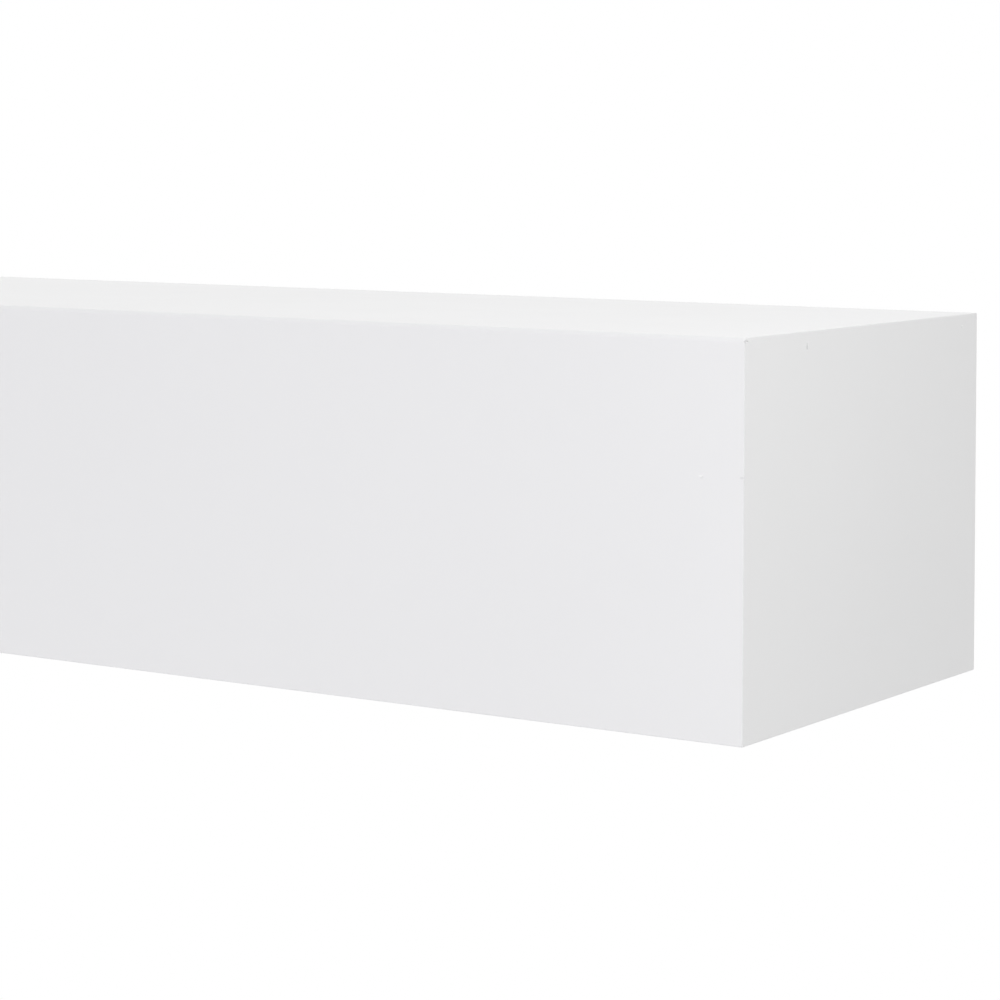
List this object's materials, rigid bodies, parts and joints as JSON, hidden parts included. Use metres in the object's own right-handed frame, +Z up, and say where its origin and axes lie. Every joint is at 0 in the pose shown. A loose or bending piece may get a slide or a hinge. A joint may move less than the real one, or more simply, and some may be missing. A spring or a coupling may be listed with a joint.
{
  "type": "floating wall shelf",
  "caption": "Floating wall shelf: a hollow mitred box beam of white painted board that slides over a hidden wooden cleat lagged to the wall.",
  "frame": {"origin": "on the wall plane, in the middle of the case's open back, which is a point of the cleat's back face", "axes": "+X to the right along the shelf, +Y into the wall, +Z up; the front face looks along -Y"},
  "size_m": [1.2192, 0.248, 0.1524],
  "materials": {
    "painted_board": "satin",
    "raw_board": "matte",
    "pine": "matte",
    "zinc_steel": "satin",
    "brad_steel": "satin",
    "brass": "satin",
    "filler": "matte"
  },
  "bodies": {
    "wall_cleat": {"wall_cleat": "pine", "lag_screws": "zinc_steel", "lag_washers": "zinc_steel"},
    "case": {"top_panel": "painted_board", "front_panel": "painted_board", "bottom_panel": "painted_board", "left_end_panel": "painted_board", "right_end_panel": "painted_board", "rib_1": "raw_board", "rib_2": "raw_board", "rib_3": "raw_board", "left_corner_post": "pine", "right_corner_post": "pine", "top_glue_strip_1": "pine", "top_glue_strip_2": "pine", "top_glue_strip_3": "pine", "top_glue_strip_4": "pine", "bottom_glue_strip_1": "pine", "bottom_glue_strip_2": "pine", "bottom_glue_strip_3": "pine", "bottom_glue_strip_4": "pine", "left_end_top_strip": "pine", "right_end_top_strip": "pine", "left_end_bottom_strip": "pine", "right_end_bottom_strip": "pine", "set_screws": "zinc_steel", "threaded_inserts": "brass", "end_brads": "brad_steel", "front_brads": "brad_steel", "brad_fillers": "filler"}
  },
  "joints": [
    {"name": "case_slide", "type": "slide", "parent": "wall_cleat", "child": "case", "axis": [0, -1, 0], "range_m": [0, 0.06]}
  ]
}
